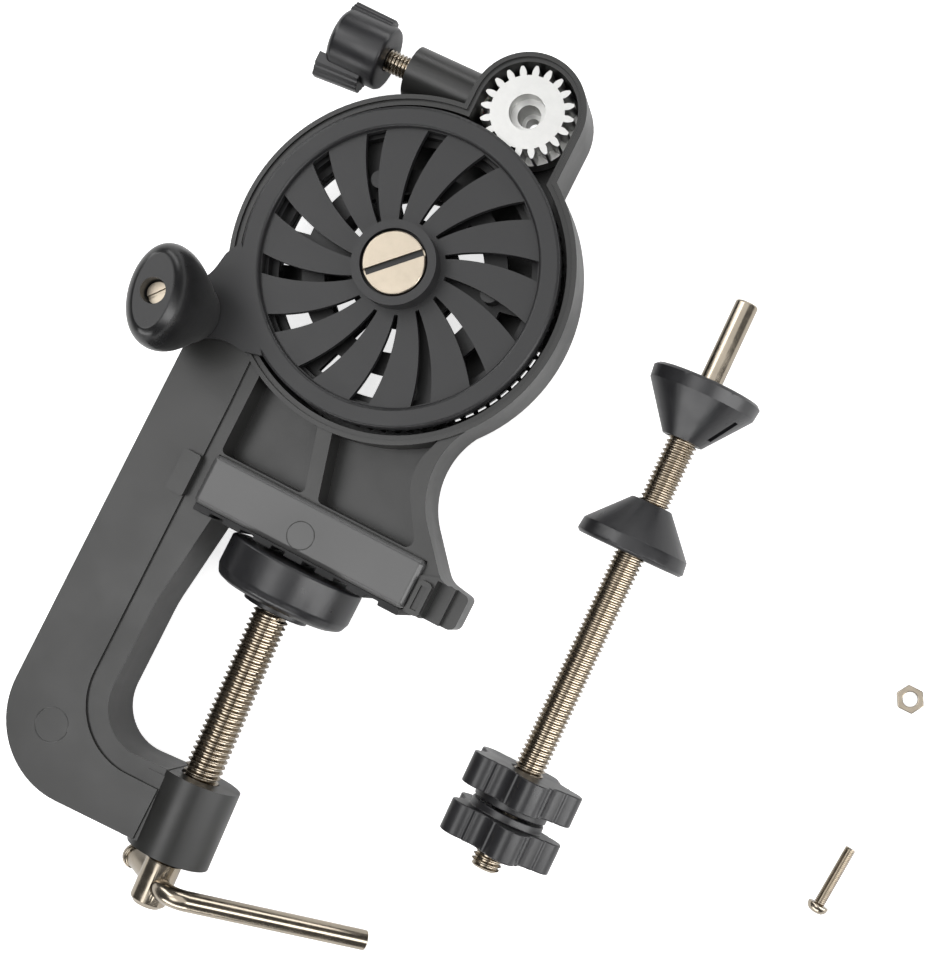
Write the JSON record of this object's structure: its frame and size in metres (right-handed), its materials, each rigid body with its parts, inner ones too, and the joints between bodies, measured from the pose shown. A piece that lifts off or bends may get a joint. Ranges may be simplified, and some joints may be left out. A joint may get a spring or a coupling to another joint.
{
  "type": "table-clamp line and yarn winder",
  "caption": "Hand-cranked table-clamp winder with a geared crank wheel and a detachable threaded spindle that carries two centring cones and two hand nuts, laid beside it.",
  "frame": {"origin": "the crank wheel's axis at the back face of the gear case", "axes": "+Z out of the crank wheel's face, +Y from the clamp's tommy bar towards the wheel, +X to the open side of the clamp's throat"},
  "size_m": [0.2199, 0.2407, 0.0621],
  "materials": {
    "moulded_body": "satin moulded black nylon",
    "moulded_knobs": "fine-textured moulded black plastic",
    "nylon_black": "moulded black acetal gear",
    "nylon": "natural nylon",
    "soft_knob": "soft-touch rubber",
    "grip_rubber": "moulded rubber",
    "nickel_steel": "nickel-plated steel",
    "aluminium": "machined aluminium",
    "brass": "turned brass"
  },
  "bodies": {
    "frame": {"gear_case": "moulded_body", "clamp_frame": "moulded_body", "jaw_cover": "moulded_body", "jaw_pad": "grip_rubber", "axle_insert": "brass", "axle_screw": "nickel_steel", "thrust_washer": "nylon", "pinion_bush": "brass", "clamp_nut": "brass"},
    "crank": {"crank_wheel": "moulded_body", "drive_gear": "nylon_black", "gear_screws": "nickel_steel", "wheel_bush": "brass", "handle_insert": "brass", "handle_screw": "nickel_steel"},
    "knob": {"handle_knob": "soft_knob"},
    "pinion": {"pinion_gear": "aluminium", "pinion_clip": "nickel_steel"},
    "brake_plug": {"brake_plug": "nylon"},
    "brake_screw": {"brake_stud": "nickel_steel", "wing_knob": "moulded_knobs"},
    "pad": {"swivel_pad": "moulded_knobs", "pad_retainer": "moulded_knobs"},
    "clamp_screw": {"clamp_screw": "nickel_steel", "tommy_bar": "nickel_steel"},
    "spindle": {"spindle_rod": "nickel_steel"},
    "upper_cone": {"upper_cone": "moulded_knobs"},
    "lower_cone": {"lower_cone": "moulded_knobs"},
    "near_insert": {"star_insert_near": "brass"},
    "near_star": {"star_nut_near": "moulded_knobs"},
    "far_insert": {"star_insert_far": "brass"},
    "far_star": {"star_nut_far": "moulded_knobs"},
    "spare_screw": {"loose_screw": "nickel_steel"},
    "spare_nut": {"loose_nut": "nickel_steel"}
  },
  "joints": [
    {"name": "crank_turn", "type": "hinge", "parent": "frame", "child": "crank", "pos_m": [0, 0, 0.02], "axis": [0, 0, 1], "continuous": true},
    {"name": "knob_spin", "type": "hinge", "parent": "crank", "child": "knob", "pos_m": [-0.0431, -0.03368, 0.036], "axis": [0, 0, 1], "continuous": true},
    {"name": "pinion_spin", "type": "hinge", "parent": "frame", "child": "pinion", "pos_m": [0.01107, 0.04994, 0.01], "axis": [0, 0, 1], "continuous": true},
    {"name": "brake_travel", "type": "slide", "parent": "frame", "child": "brake_plug", "axis": [1, 0, 0], "range_m": [-0.006, 0.0003]},
    {"name": "brake_turn", "type": "hinge", "parent": "brake_plug", "child": "brake_screw", "pos_m": [-0.03, 0.04904, 0.009], "axis": [1, 0, 0], "range_deg": [-2165, 110]},
    {"name": "clamp_travel", "type": "slide", "parent": "frame", "child": "pad", "axis": [-0.061, 0.9981, 0], "range_m": [-0.0435, 0]},
    {"name": "clamp_turn", "type": "hinge", "parent": "pad", "child": "clamp_screw", "pos_m": [0.0119, -0.1505, 0.01], "axis": [-0.061, 0.9981, 0], "range_deg": [-10445, 1]},
    {"name": "spindle_lift", "type": "slide", "parent": "frame", "child": "spindle", "axis": [0, 0, 1], "range_m": [0, 0.08]},
    {"name": "upper_cone_slide", "type": "slide", "parent": "spindle", "child": "upper_cone", "axis": [-0.0297, 0.9996, 0], "range_m": [-0.004, 0.019]},
    {"name": "lower_cone_slide", "type": "slide", "parent": "spindle", "child": "lower_cone", "axis": [-0.0297, 0.9996, 0], "range_m": [-0.043, 0.006]},
    {"name": "near_star_travel", "type": "slide", "parent": "spindle", "child": "near_insert", "axis": [-0.0297, 0.9996, 0], "range_m": [-0.00025, 0.0125]},
    {"name": "near_star_turn", "type": "hinge", "parent": "near_insert", "child": "near_star", "pos_m": [0.08549, -0.10317, 0.007], "axis": [-0.0297, 0.9996, 0], "range_deg": [-75, 3605]},
    {"name": "far_star_travel", "type": "slide", "parent": "spindle", "child": "far_insert", "axis": [-0.0297, 0.9996, 0], "range_m": [-0.003, 0.00025]},
    {"name": "far_star_turn", "type": "hinge", "parent": "far_insert", "child": "far_star", "pos_m": [0.08594, -0.11817, 0.007], "axis": [-0.0297, 0.9996, 0], "range_deg": [-870, 75]},
    {"name": "spare_screw_lift", "type": "slide", "parent": "frame", "child": "spare_screw", "axis": [0, 0, 1], "range_m": [0, 0.05]},
    {"name": "spare_nut_lift", "type": "slide", "parent": "frame", "child": "spare_nut", "axis": [0, 0, 1], "range_m": [0, 0.05]}
  ],
  "couplings": [
    {"joint": "pinion_spin", "follows": "crank_turn", "ratio": -3.65},
    {"joint": "brake_turn", "follows": "brake_travel", "rad_per_m": 6283.2},
    {"joint": "clamp_turn", "follows": "clamp_travel", "rad_per_m": 4188.8},
    {"joint": "near_star_turn", "follows": "near_star_travel", "rad_per_m": 5026.5},
    {"joint": "far_star_turn", "follows": "far_star_travel", "rad_per_m": 5026.5}
  ]
}
